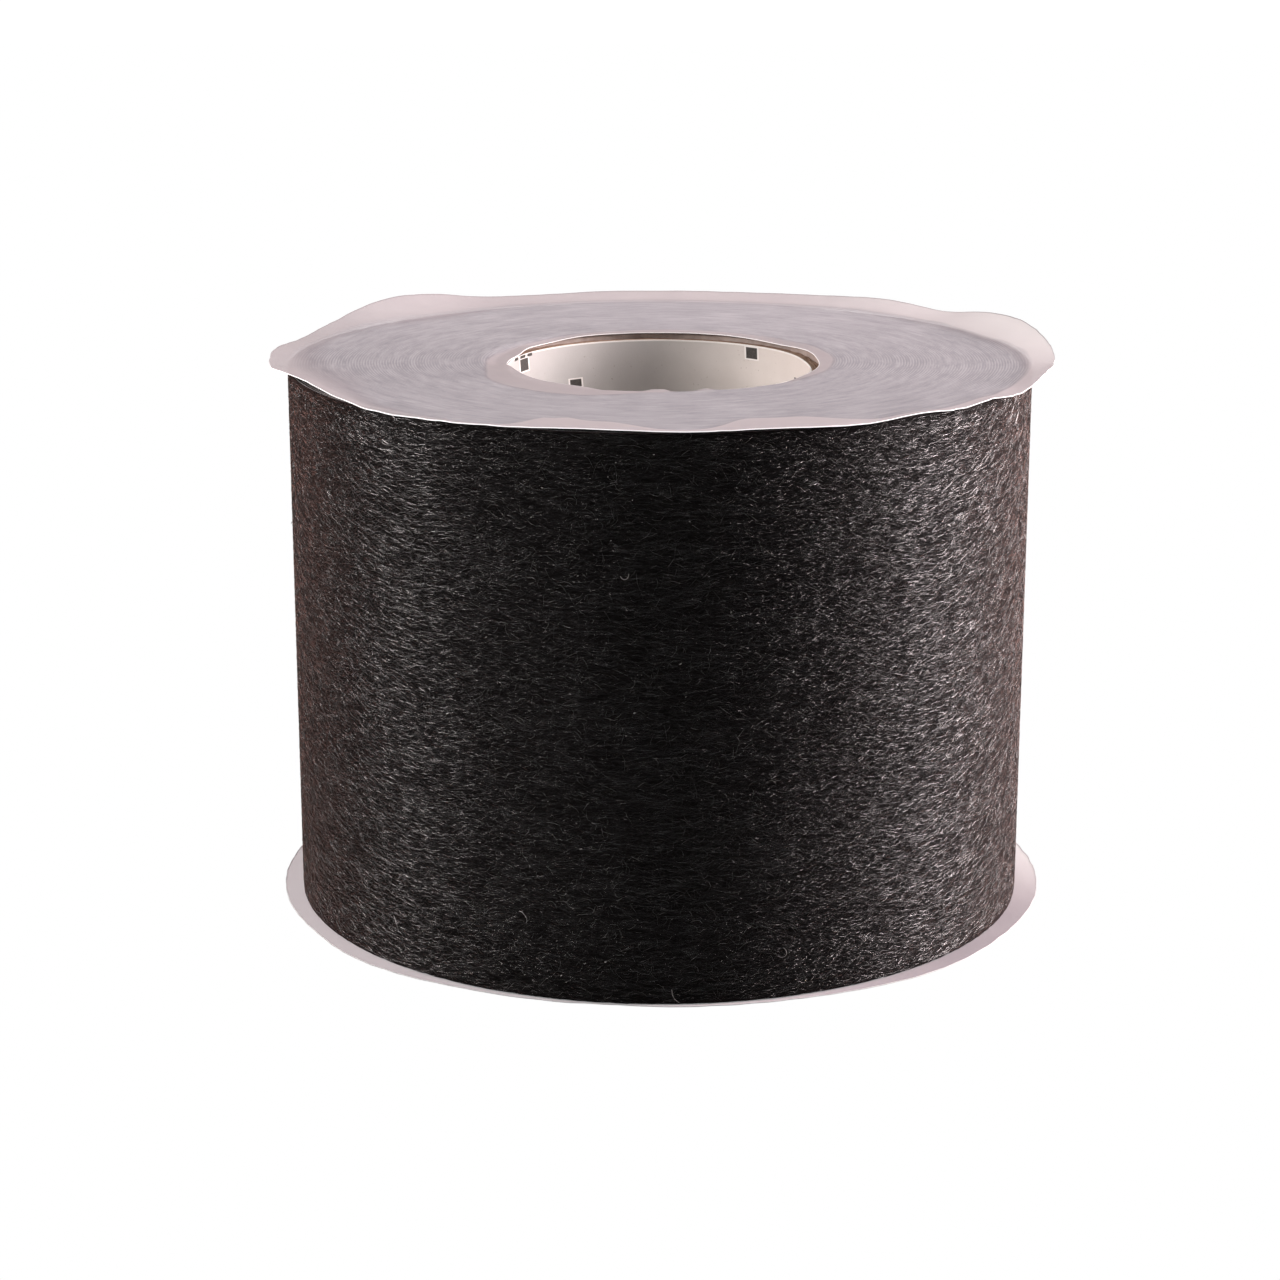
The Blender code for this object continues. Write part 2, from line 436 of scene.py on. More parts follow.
# Printed dashes beside them: angle, height and width. All are as tall.
PRINTED_DASHES = [(162.6, 66.15, 2.6), (156.2, 66.1, 3.0), (150.6, 66.1, 2.4), (22.9, 60.4, 1.2)]
DASH_TALL = 0.85


def lining_material():
    """Cream lining paper with fine specks, printed squares and a pale upper edge, and painted shade that
    makes it darker and greyer on the left.
    """
    shader = Shader("lining_paper")
    place = shader.place()
    bore = shader.split(shader.attribute("bore"))
    clouds = shader.noise(place, 0.10, 4.0, 0.6)
    grain = shader.noise(place, 2.5, 4.0, 0.7)
    cream = shader.ramp(clouds, (0.3, (0.76, 0.715, 0.67)), (0.7, (0.82, 0.775, 0.73)))
    # Painted shade: the bore's wall is painted darker and greyer on its left, from 95 to 205 degrees round,
    # fading out by 45 and 265.
    left = shader.step(bore[0], 45 * BORE_ARC, 95 * BORE_ARC)
    left = shader.math("MINIMUM", left, shader.step(bore[0], 265 * BORE_ARC, 205 * BORE_ARC))
    cream = shader.blend(left, cream, shader.dyed(cream, (0.685, 0.72, 0.75)))
    specks = shader.step(shader.noise(place, 1.5, 2.0, 0.5), 0.715, 0.74)
    paper = shader.blend(shader.times(specks, 0.55), cream, (0.25, 0.21, 0.17))
    halo = [shader.step(bore[2], 0.45, 0.25)]
    ink = [patch(shader, bore, *dash, DASH_TALL) for dash in PRINTED_DASHES]
    for angle, height, width, tall, lean in PRINTED_SQUARES:
        halo.append(patch(shader, bore, angle, height, width + 1.0, tall + 0.7, lean))
        ink.append(patch(shader, bore, angle, height, width, tall, lean))
    haloed = shader.blend(shader.most(*halo), paper, (0.95, 0.93, 0.90))
    print_tone = shader.ramp(grain, (0.35, (0.040, 0.038, 0.035)), (0.65, (0.085, 0.080, 0.073)))
    shader.put(Base_Color=shader.blend(shader.most(*ink), haloed, print_tone))
    shader.put(Roughness=0.7, Specular_IOR_Level=0.3, Normal=shader.bump(grain, 0.04))
    return shader.material


CLING_ALPHA = 0.54


def film_material(name, free_alpha, tint, shade_alpha=None, shade_tint=None):
    """Milky translucent film. Where it clings to the roll it looks cool and grey, with the wound turns
    showing faintly through it, and where it stands off it looks pinkish.

    The disc gives four numbers for each point. loose is how far past the line where the film stops clinging,
    rim is minus the distance to a cut edge, shade is darkest where the film lifts at the back, and pale marks
    the hills that catch the light. The shade alpha and tint are for the right of a lower disc."""
    shader = Shader(name)
    place = shader.place()
    x, y, _ = shader.split(place)
    far = shader.from_axis(x, y)
    line = shader.attribute("loose", "Fac")
    loose = shader.step(line, -0.35, 0.35)
    rim = shader.step(shader.attribute("rim", "Fac"), -0.22, -0.08)
    border = shader.times(shader.step(line, -1.0, -0.3), shader.step(line, 0.3, -0.1))
    clouds = shader.noise(place, 0.05, 4.0, 0.6)
    grain = shader.noise(place, 3.0, 3.0, 0.6)

    # The turns under the film: a fine line for each, clear in places and lost in others, and longer streaks.
    # 100 turns are added so that the count stays above 0.
    outward = shader.math("DIVIDE", shader.math("SUBTRACT", far, PACK_RADIUS), WEB)
    round_it = shader.math("DIVIDE", shader.math("ARCTAN2", y, x), 2 * math.pi)
    wound = shader.math("SUBTRACT", outward, round_it)
    layer = shader.math("FRACT", shader.math("ADD", wound, 100 + TAPE_END_AT / 360))
    join = shader.nodes.new("ShaderNodeCombineXYZ")
    shader.join(shader.math("DIVIDE", far, 1.8), join.inputs[0])
    shader.join(shader.times(shader.math("DIVIDE", x, far), 6.0), join.inputs[1])
    shader.join(shader.times(shader.math("DIVIDE", y, far), 6.0), join.inputs[2])
    streaks = shader.noise(join.outputs["Vector"], 1.0, 5.0, 0.8)
    clear = shader.step(shader.noise(place, 0.09, 3.0, 0.6), 0.36, 0.56)
    clear = shader.times(clear, shader.step(streaks, 0.38, 0.50))
    turns = shader.ramp(layer, (0.0, 0.5), (0.12, 1.0), (0.26, 0.45), (0.5, 0.0), (0.8, 0.35))
    turns = shader.times(shader.math("SUBTRACT", turns, 0.4), shader.times(clear, 3.6))
    shown = shader.math("ADD", turns, shader.times(shader.math("SUBTRACT", streaks, 0.5), 6.5))
    cling = shader.ramp(clouds, (0.3, (0.595, 0.58, 0.615)), (0.7, (0.65, 0.635, 0.67)))
    # Painted light: the clinging film is painted lighter towards the back.
    cling = shader.blend(shader.step(y, 0.0, 70.0), cling, shader.dyed(cling, (1.12, 1.12, 1.12)))
    dim, bright = shader.dyed(cling, (0.74, 0.74, 0.76)), shader.dyed(cling, (1.20, 1.20, 1.19))
    cling = shader.blend(shader.step(shown, -1.2, 1.2), dim, bright)

    pale = shader.attribute("pale", "Fac")
    free = shader.ramp(clouds, (0.3, (0.585, 0.535, 0.555)), (0.7, (0.64, 0.59, 0.605)))
    # Painted shade: the free film is painted darker on the left.
    left_painted_shade = shader.times(shader.step(x, -30.0, -70.0), 0.5)
    free = shader.blend(left_painted_shade, free, shader.dyed(free, (0.86, 0.88, 0.88)))
    free = shader.dyed(free, tint)
    alpha_here = free_alpha
    if shade_alpha:
        shaded = shader.times(shader.step(x, 10.0, 70.0), shader.step(y, 50.0, -35.0))
        free = shader.blend(shaded, free, shader.dyed(free, shade_tint))
        alpha_here = shader.math("MULTIPLY_ADD", shaded, shade_alpha - free_alpha, free_alpha)
    free = shader.blend(pale, free, (0.96, 0.92, 0.92))
    free = shader.blend(shader.step(far, 62.0, 54.0), free, shader.dyed(free, (0.88, 0.88, 0.88)))
    colour = shader.blend(loose, cling, free)
    colour = shader.blend(shader.times(border, 0.30), colour, (0.42, 0.36, 0.38))
    shade = shader.attribute("shade", "Fac")
    colour = shader.blend(shader.times(shade, 0.5), colour, (0.42, 0.38, 0.40))
    # Painted highlight and shade along the cut edges: the film there is painted white in front and round the
    # hole, and grey at the back of the outer edge.
    rim_shade_behind = shader.times(shader.step(y, -25.0, 15.0), shader.step(far, 60.0, 62.0))
    colour = shader.blend(rim, colour, shader.blend(rim_shade_behind, (0.93, 0.91, 0.92), (0.40, 0.36, 0.37)))
    alpha = shader.math("MULTIPLY_ADD", loose, shader.math("SUBTRACT", alpha_here, CLING_ALPHA), CLING_ALPHA)
    alpha = shader.most(alpha, shader.times(shade, 0.85), shader.times(rim, 0.95))
    shader.put(Base_Color=colour, Alpha=alpha, Roughness=0.38, Specular_IOR_Level=0.3)
    shader.put(Normal=shader.bump(grain, 0.015))
    return shader.material


def cut_edge_material(name, glow):
    """The film's cut edge, white, with a painted glow that stands for light run inside the film coming out.
    The hole's glow is the greyer, and where the edge is seen from inside the film it is painted dark as
    shade, without glow.
    """
    shader = Shader(name)
    cloud = shader.noise(shader.place(), 0.8, 3.0)
    inside = shader.nodes.new("ShaderNodeNewGeometry").outputs["Backfacing"]
    white = shader.ramp(cloud, (0.3, (0.86, 0.84, 0.85)), (0.7, (0.95, 0.94, 0.94)))
    x, y, _ = shader.split(shader.place())
    far = shader.from_axis(x, y)
    outer = shader.ramp(shader.step(far, 55.0, 56.0), (0.0, (0.30, 0.29, 0.29)), (1.0, (1.0, 0.97, 0.98)))
    # Painted shade on the edge seen from inside, and a painted glow, white on the outer edge and grey round
    # the hole.
    shader.put(Base_Color=shader.blend(inside, white, (0.20, 0.19, 0.20)), Roughness=0.4)
    shader.put(Emission_Color=shader.blend(inside, outer, (0.0, 0.0, 0.0)), Emission_Strength=glow)
    return shader.material


def strip_material():
    """Clear double-sided tape with a woven scrim."""
    shader = Shader("starter_strip")
    place = shader.place()
    threads = [shader.math("SINE", shader.times(axis, 6.0)) for axis in shader.split(place)[:2]]
    weave = shader.times(*threads)
    shader.put(Base_Color=shader.ramp(weave, (0.2, (0.66, 0.65, 0.60)), (0.8, (0.78, 0.77, 0.73))))
    shader.put(Roughness=0.35, Normal=shader.bump(weave, 0.03))
    return shader.material


# ------------------------ mesh helpers

def polar(radius, angle, height):
    """Points in metres, from arrays of radius and height in millimetres and angle in degrees."""
    radius, angle, height = np.broadcast_arrays(radius, np.radians(angle), height)
    return np.stack([radius * np.cos(angle), radius * np.sin(angle), height], axis=-1) * MM


def web_radius(turned):
    """The radius of the web's inner face, at an angle past the start of the last turn."""
    return PACK_RADIUS + WEB * turned / 360


def ripple(x, y, size, seed):
    """Smooth random hills about the given size across, from about -1 to 1."""
    waves = 22
    rng = np.random.default_rng(seed)
    total = np.zeros(np.broadcast(x, y).shape)
    for _ in range(waves):
        heading, phase = rng.uniform(0, 2 * math.pi, 2)
        rate = 2 * math.pi / (size * rng.uniform(0.7, 1.6))
        total += np.cos(rate * (x * math.cos(heading) + y * math.sin(heading)) + phase)
    return total / math.sqrt(waves * 1.5)


def grid_faces(rows, columns, first=0, wrap=False):
    """Quads of a grid whose points are numbered row by row. wrap joins the last row to the first."""
    row = np.arange(rows if wrap else rows - 1)[:, None]
    column = np.arange(columns - 1)[None, :]
    start, after = row * columns + column, (row + 1) % rows * columns + column
    return first + np.stack([start, after, after + 1, start + 1], axis=-1).reshape(-1, 4)


def make_piece(name, points, faces, materials, kinds=None, sharp=40):
    """A closed mesh object, smooth but for edges sharper than the angle. kinds gives each face's material."""
    mesh = bpy.data.meshes.new(name)
    mesh.from_pydata(points.reshape(-1, 3).tolist(), [], faces.tolist())
    for material in materials:
        mesh.materials.append(material)
    if kinds is not None:
        mesh.polygons.foreach_set("material_index", np.asarray(kinds, np.int32))
    bm = bmesh.new()
    bm.from_mesh(mesh)
    bmesh.ops.recalc_face_normals(bm, faces=bm.faces)
    bm.to_mesh(mesh)
    bm.free()
    mesh.shade_smooth()
    mesh.set_sharp_from_angle(angle=math.radians(sharp))
    return add_object(name, mesh)


def shell(name, outer, inner, materials, wrap=False, edge_kind=0, sharp=40):
    """A closed sheet between two grids of points of one shape. edge_kind is the material of its edges."""
    rows, columns = outer.shape[:2]
    count = rows * columns
    rims = []
    row = np.arange(rows if wrap else rows - 1)
    for column in (0, columns - 1):
        start, end = row * columns + column, (row + 1) % rows * columns + column
        rims.append(np.stack([start, end, end + count, start + count], axis=-1))
    if not wrap:
        column = np.arange(columns - 1)
        for row in (0, rows - 1):
            start = row * columns + column
            rims.append(np.stack([start, start + 1, start + 1 + count, start + count], axis=-1))
    rims = np.concatenate(rims)
    faces = np.concatenate([
        grid_faces(rows, columns, 0, wrap),
        grid_faces(rows, columns, count, wrap)[:, ::-1],
        rims,
    ])
    kinds = np.zeros(len(faces), int)
    kinds[-len(rims):] = edge_kind
    points = np.concatenate([outer.reshape(-1, 3), inner.reshape(-1, 3)])
    return make_piece(name, points, faces, materials, kinds, sharp)


def give(obj, name, values):
    """Stores a number or a vector for each place of a shell's grid, on both its sides, for its material."""
    vector = values.ndim == 3
    attribute = obj.data.attributes.new(name, "FLOAT_VECTOR" if vector else "FLOAT", "POINT")
    both = np.tile(values.astype(np.float32).ravel(), 2)
    attribute.data.foreach_set("vector" if vector else "value", both)


def seat(obj, body, slot, *nodes):
    """Puts a piece on its body and lets it stand for CAD nodes by hiding them. slot is not used."""
    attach(obj, body)
    if nodes:
        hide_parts(*nodes)


# ------------------------ the core

# How far the plies' upper ends stand above the CAD's core end, outside the film's hole and inside it.
OUTER_PLIES_RISE, INNER_PLIES_RISE = 0.75, -0.35
# How far the lining's seam climbs in one turn round the bore.
SEAM_PITCH = 95.0

# The dips below are each an angle, a depth and a half width. CORE_DIP is in the core's top alone.
CORE_DIP = [(2, 0.8, 18)]
# How far the film's hole sags. The core's upper end dips with it.
HOLE_SAG = [
    (-104, 1.2, 9), (-84, 1.0, 7), (-66, 1.25, 9), (-48, 1.1, 14), (-90, -0.9, 3.5), (-74, -0.7, 3.5),
    (181, 0.8, 9), (163, 0.8, 13), (138, 0.8, 13), (40, 0.45, 16),
]


def bumps(angle, hills):
    """The sum of soft hills, each given as a middle angle, a height and a half width."""
    total = np.zeros(np.shape(angle))
    for middle, height, width in hills:
        away = (angle - middle + 180) % 360 - 180
        total += height * np.exp(-((away / width) ** 2))
    return total


def sag(angle, far):
    """How far the film sags at an angle and a distance from the axis, from the outermost ply inwards."""
    return np.clip(bumps(angle, HOLE_SAG), 0, 1.3) * np.clip((PACK_BORE + 1.0 - far) / 3.5, 0, 1) ** 1.3


def under_film(inner):
    """Whether a ply whose inside has this radius lies outside the film's hole."""
    return inner > HOLE_RADIUS - 0.3


def core_top(angle, inner):
    """The height of a ply's upper end. Plies inside the hole stand lower, and all keep clear of the film."""
    standing = CORE_HALF_WIDTH + (OUTER_PLIES_RISE if under_film(inner) else INNER_PLIES_RISE)
    return np.minimum(standing, DISC_UNDER - 0.15 - sag(angle, inner)) - bumps(angle, CORE_DIP)


def ragged_ring(name, inner, outer, half_height, roughness, seed, materials):
    """A tube whose cut ends are a little uneven. Its section is a rectangle with eased corners."""
    columns, rows = 180, 16
    ease = min(0.12, (outer - inner) * 0.25)
    side = half_height * (1 - 2 * np.linspace(0, 1, rows)) * (1 - ease / half_height)
    across = [outer - ease, (inner + outer) / 2, inner + ease]
    section = [(outer, z) for z in side]
    section += [(far, -half_height) for far in across]
    section += [(inner, -z) for z in side]
    section += [(far, half_height) for far in reversed(across)]
    section.append(section[0])
    radius, height = np.array(section).T
    angle = np.arange(columns)[:, None] * 360 / columns
    at_end = np.abs(height) > half_height - 1.5 * ease
    arc = np.radians(angle) * outer
    uneven = ripple(arc, radius * 3, 5.0, seed) * roughness * at_end
    z = height - np.sign(height) * np.abs(uneven)
    z = np.where(z > 0, z * core_top(angle, inner) / half_height, z)
    points = polar(radius, angle, z)[:, :-1]
    corners = points.shape[1]
    faces = grid_faces(columns, corners, wrap=True)
    start = np.arange(columns) * corners
    after = np.roll(start, -1)
    closing = np.stack([start + corners - 1, after + corners - 1, after, start], axis=-1)
    return make_piece(name, points, np.concatenate([faces, closing]), materials, sharp=50)


def build_core(look):
    """The plies of board and the lining paper, whose seam winds round the bore, each a tube of its own."""
    plies = sorted(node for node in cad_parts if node.startswith("core_ply_"))
    for number, node in enumerate(plies):
        inner, outer = radii(node)
        name, board = f"board_ply_{number + 1}", look["pale_board" if under_film(inner) else "board"]
        ring = ragged_ring(name, inner, outer, CORE_HALF_WIDTH, 0.22, 40 + number, [board])
        seat(ring, "roll", "core_board", node)

    inner, outer = radii("core_inner_liner")
    angle = np.arange(240)[:, None] * 1.5
    height = CORE_HALF_WIDTH * np.linspace(-1, 1, 60)[None, :] + 0 * angle
    height = np.where(height > 0, height * core_top(angle, inner) / CORE_HALF_WIDTH, height)
    helix = (angle / 360 - height / SEAM_PITCH) % 1.0
    overlap = 0.10 * np.exp(-((np.minimum(helix, 1 - helix) / 0.012) ** 2))
    dents = 0.05 * ripple(np.radians(angle) * inner, height, 14.0, 51)
    inside = polar(inner + 0.06 - overlap * 0.5 + dents, angle, height)
    outside = polar(outer, angle, height)
    lining = shell("lining_paper_tube", inside, outside, [look["lining"]], wrap=True)
    bore = np.stack(np.broadcast_arrays((angle + 90) % 360 - 90, height, height[:, -1:] - height), axis=-1)
    bore[..., 0] *= BORE_ARC
    give(lining, "bore", bore)
    seat(lining, "roll", "lining_paper", "core_inner_liner")

    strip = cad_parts["core_starter_strip"]
    strip.data.materials.clear()
    strip.data.materials.append(look["strip"])


# ------------------------ the winding

# The section of one turn's edge: how far out from its inner face, as a share of the web, and how high.
TURN_SECTION = [(0.0, -0.22), (0.14, -0.02), (0.34, -0.12), (0.62, 0.0)]


def build_pack(look):
    """All the turns but the last. Each end face is one spiral of narrow ridges, from the bore out."""
    columns = 144
    share, rise = np.array(TURN_SECTION).T
    turns = np.arange(PACK_TURNS)[:, None]
    count = (turns + share[None, :]).ravel()
    height = np.tile(rise, PACK_TURNS)
    count, height = np.append(count, PACK_TURNS), np.append(height, TURN_SECTION[0][1])
    turned = np.linspace(0, 360, columns + 1)[:, None]
    radius = web_radius(turned) - (PACK_TURNS - count[None, :]) * WEB
    turn = count[None, :] + turned / 360
    slow, quick = ripple(turn * 3.0, 0 * turn, 6.0, 61), ripple(turn * 9.0, 0 * turn, 7.0, 62)
    z = HALF_WIDTH + height[None, :] + (-0.10 * np.abs(slow) - 0.05 * np.abs(quick))
    points = polar(np.maximum(radius, PACK_BORE), TAPE_END_AT + turned, z)

    bm = bmesh.new()
    layer = bm.verts.layers.float.new("turn")
    verts = []
    for place, value in zip(points.reshape(-1, 3), np.broadcast_to(turn, radius.shape).ravel()):
        vert = bm.verts.new(place)
        vert[layer] = value
        verts.append(vert)
    for corners in grid_faces(columns + 1, points.shape[1]):
        bm.faces.new([verts[i] for i in corners])
    bmesh.ops.remove_doubles(bm, verts=bm.verts, dist=2e-6)
    bmesh.ops.dissolve_degenerate(bm, dist=1e-7, edges=bm.edges)
    border = [edge for edge in bm.edges if edge.is_boundary]
    made = bmesh.ops.extrude_edge_only(bm, edges=border)["geom"]
    for vert in made:
        if isinstance(vert, bmesh.types.BMVert):
            vert.co.z = 0.0
    bmesh.ops.mirror(bm, geom=bm.verts[:] + bm.edges[:] + bm.faces[:], axis="Z", merge_dist=1e-6)
    bmesh.ops.recalc_face_normals(bm, faces=bm.faces)
    # The extrusion adds its points and faces in no fixed order, so all are put in one.
    slant = Vector((1.0, 7.0, 31.0))
    bm.verts.sort(key=lambda vert: vert.co.dot(slant))
    bm.faces.sort(key=lambda face: face.calc_center_median().dot(slant))
    mesh = bpy.data.meshes.new("wound_turns")
    bm.to_mesh(mesh)
    bm.free()
    mesh.materials.append(look["pack"])
    mesh.shade_smooth()
    mesh.set_sharp_from_angle(angle=math.radians(60))
    seat(add_object("wound_turns", mesh), "roll", "tape_edges", "wound_tape_pack")


# How far past the last turn's start the piece at the tape's end begins. The tape's end lies over the start
# of the last turn, which stays flat as far as COVERED_TO. BEND is a distance to each side of the hinge line,
# which no bend uses.
END_PIECE_FROM = 356.0
COVERED_TO = TAPE_END_ARC + 2
BEND = 1.5


def web_layer(name, start, stop, inset, thickness, step, rows, materials, relief=0.0, ragged=0.0):
    """One layer of the web. Its outer face may have relief, and its sides may be ragged."""
    columns = max(2, round((stop - start) / step) + 1)
    turned = np.linspace(start, stop, columns)[:, None]
    side = np.linspace(-1, 1, rows)[None, :]
    arc = turned * ARC_PER_DEGREE
    fray = ragged * ripple(arc, side * 9 + 0 * arc, 2.5, 71) * (np.abs(side) > 0.999)
    z = side * (HALF_WIDTH - 0.05 - np.abs(fray))
    inner = web_radius(turned) + inset
    open_air = np.clip((turned - COVERED_TO) / 3, 0, 1)
    hills = ripple(arc, z, 3.2, 72) * 0.5 + ripple(arc, z, 11.0, 73) * 0.5
    outer = inner + thickness + relief * np.clip(hills, -1.2, 1.0) * open_air
    angle = TAPE_END_AT + turned
    layer = shell(name, polar(outer, angle, z), polar(inner + 0 * z, angle, z), materials, sharp=50)
    give(layer, "web", np.stack(np.broadcast_arrays(arc, z, 0 * z), axis=-1))
    return layer


def build_web(look):
    """The last turn and the tape's end, layer by layer."""
    inset = GAP
    layers = [("release_liner", RELEASE_LINER, look["liner"]), ("adhesive", ADHESIVE, look["adhesive"])]
    layers.append(("fleece", FLEECE, look["fleece"]))
    hinge = polar(HINGE_RADIUS, TAPE_END_AT, 0.0)
    bend = polar(BEND, TAPE_END_AT + 90, 0.0)
    for part, thickness, material in layers:
        fine = part == "fleece"
        options = dict(relief=0.025, ragged=0.12) if fine else {}
        step, rows = (0.9, 110) if fine else (2.0, 5)
        shape = (inset, thickness, step, rows, [material])
        turn = web_layer(f"{part}_turn", 0.0, END_PIECE_FROM, *shape, **options)
        seat(turn, "roll", part, f"outer_turn_{part}")
        shape = (inset, thickness, 0.45 if fine else 0.5, rows, [material])
        end = web_layer(f"{part}_end", END_PIECE_FROM, WEB_STOP, *shape, **options)
        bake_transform(end)
        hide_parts(f"tape_end_{part}")
        inset += thickness + GAP


# ------------------------ fibres

def fibre_tubes(name, paths, lift, thickness, material):
    """Closed three-sided tubes along paths of (arc, height) on the web, lifted off the fleece's face.

    paths is count x points x 2, lift is count x points and thickness is one number for each tube."""
    count, steps = lift.shape
    tangent = np.gradient(paths, axis=1)
    tangent /= np.linalg.norm(tangent, axis=-1, keepdims=True)
    side = np.stack([-tangent[..., 1], tangent[..., 0]], axis=-1)
    taper = np.ones(steps)
    taper[[0, -1]] = 0.5
    ring = np.radians([90, 210, 330])
    across = thickness[:, None, None] * taper[None, :, None] * np.cos(ring)
    above = thickness[:, None, None] * taper[None, :, None] * np.sin(ring)
    flat = paths[:, :, None, :] + side[:, :, None, :] * across[..., None]
    turned = flat[..., 0] / ARC_PER_DEGREE
    radius = web_radius(turned) + WEB + lift[:, :, None] + above
    z = np.clip(flat[..., 1], -HALF_WIDTH + 0.02, HALF_WIDTH - 0.02)
    points = polar(radius, TAPE_END_AT + turned, z)
    base = np.arange(count)[:, None, None] * steps * 3
    along = np.arange(steps - 1)[None, :, None] * 3
    corner = np.arange(3)[None, None, :]
    after = (corner + 1) % 3
    start, end = base + along + corner, base + along + after
    quads = np.stack([start, end, end + 3, start + 3], axis=-1)
    mesh = bpy.data.meshes.new(name)
    tips = np.arange(count)[:, None] * steps * 3
    caps = np.concatenate([tips + np.array([2, 1, 0]), tips + (steps - 1) * 3 + np.array([0, 1, 2])])
    mesh.from_pydata(points.reshape(-1, 3).tolist(), [], quads.reshape(-1, 4).tolist() + caps.tolist())
    mesh.materials.append(material)
    mesh.shade_smooth()
    return add_object(name, mesh)


def lay_fibres(name, count, first, last, seed, material, length, thickness, curl, straying, wild):
    """Fibres bonded flat to the fleece's face between two turned angles.

    curl is how much each bends and straying how far it heads from the web's length, both in degrees as a
    usual value. wild is the share that heads anywhere. Those that run across the web lie lowest."""
    rng = np.random.default_rng(seed)
    steps = 4
    long = rng.uniform(*length, count)
    heading = np.where(rng.random(count) < wild, rng.uniform(-90, 90, count), rng.normal(0, straying, count))
    bend = rng.normal(0, curl, count)
    share = np.linspace(-0.5, 0.5, steps)
    way = np.radians(heading[:, None] + bend[:, None] * share + rng.normal(0, 7, (count, steps)))
    stride = np.stack([np.cos(way), np.sin(way)], axis=-1) * (long / (steps - 1))[:, None, None]
    paths = np.cumsum(stride, axis=1)
    low, high = paths.min(axis=1), paths.max(axis=1)
    ends = np.array([[first * ARC_PER_DEGREE, last * ARC_PER_DEGREE], [-HALF_WIDTH + 0.1, HALF_WIDTH - 0.1]])
    shift = ends[:, 0] - low + rng.random((count, 2)) * (ends[:, 1] - ends[:, 0] - (high - low))
    paths = paths + shift[:, None, :]
    arch = np.sin(math.pi * (share + 0.5))
    across = np.abs(np.sin(np.radians(heading)))
    lift = (rng.uniform(0.02, 0.12, count) * (1 - across))[:, None] * arch
    lift = lift + rng.normal(0, 0.006, (count, steps)) - 0.01
    open_air = np.clip((paths[..., 0] / ARC_PER_DEGREE - COVERED_TO) / 3, 0, 1)
    lift = np.where(open_air > 0.5, lift, -0.02)
    return fibre_tubes(name, paths, lift, rng.uniform(*thickness, count), material)


# The kinds of fibre: lengths and thicknesses from and to, curl, straying and the share that heads anywhere.
PLAIN = dict(length=(3.0, 7.5), thickness=(0.035, 0.060), curl=30, straying=16, wild=0.2)
GLOSSY = dict(length=(2.5, 7.0), thickness=(0.030, 0.055), curl=30, straying=11, wild=0.1)
CURLED = dict(length=(1.5, 4.0), thickness=(0.025, 0.042), curl=80, straying=45, wild=0.8)
LINT = dict(length=(0.2, 0.6), thickness=(0.05, 0.10), curl=35, straying=18, wild=0.25)
FIBRES_IN_A_PIECE = 9900
TURN_STRETCH, END_STRETCH = (0.5, 359.9), (360.1, WEB_STOP - 0.3)


def build_fibres(look):
    """The fleece's own fibres on the last turn and on the tape's end, and some pale lint."""
    many, turn, end = FIBRES_IN_A_PIECE, TURN_STRETCH, END_STRETCH
    sets = [(f"fleece_fibres_{k + 1}", many, turn, 80 + k, "fibre", PLAIN) for k in range(8)]
    sets += [(f"glossy_fibres_{k + 1}", many, turn, 120 + k, "glossy", GLOSSY) for k in range(4)]
    sets += [
        ("fleece_curls", 9000, turn, 95, "curl", CURLED),
        ("lint", 260, turn, 91, "lint", LINT),
        ("tape_end_fibres", 5600, end, 90, "fibre", PLAIN),
        ("tape_end_glossy_fibres", 2800, end, 92, "glossy", GLOSSY),
        ("tape_end_curls", 650, end, 93, "curl", CURLED),
    ]
    for name, count, stretch, seed, finish, manner in sets:
        fibres = lay_fibres(name, count, *stretch, seed, look[finish], **manner)
        seat(fibres, "tape_end" if stretch is end else "roll", "fleece")


STRAY_THICKNESS = 0.06
# Loose fibres that have sprung up from the fleece: angle, height, length, heading and how far each curls.
STRAYS = [
    (-43, -56, 5, 60, 150), (-47, -63, 4, 20, -190), (-133, -57, 4, 110, 90), (-88, -66, 4, 120, -60),
    (-110, -48, 4, 120, 130), (-72, -57, 4, 45, 200), (-48, 6, 3, 10, -160), (-45, -8, 3, 60, 110),
    (-30, -30, 5, 140, 120), (-150, -20, 4, 70, -150), (-95, 35, 3, 10, 180), (-33, 30, 4, 60, -70),
    (20, -10, 5, 30, 150), (60, 40, 5, 100, -150), (140, -40, 5, 45, 160), (-170, 30, 4, 20, 130),
]


def build_strays(look):
    """A few curled fibres that stand off the fleece."""
    steps = 12
    share = np.linspace(-0.5, 0.5, steps)
    angle, height, long, heading, curl = np.array(STRAYS, float).T
    way = np.radians(heading[:, None] + curl[:, None] * share)
    stride = np.stack([np.cos(way), np.sin(way)], axis=-1) * (long / (steps - 1))[:, None, None]
    paths = np.cumsum(stride, axis=1)
    start = np.stack([(angle - TAPE_END_AT) % 360 * ARC_PER_DEGREE, height], axis=-1)
    paths += (start - paths.mean(axis=1))[:, None, :]
    lift = np.tile(0.05 + 0.5 * np.sin(math.pi * (share + 0.5)) ** 2, (len(STRAYS), 1))
    strays = fibre_tubes("stray_fibres", paths, lift, np.full(len(STRAYS), STRAY_THICKNESS), look["stray"])
    seat(strays, "roll", "fleece")


# ------------------------ side discs

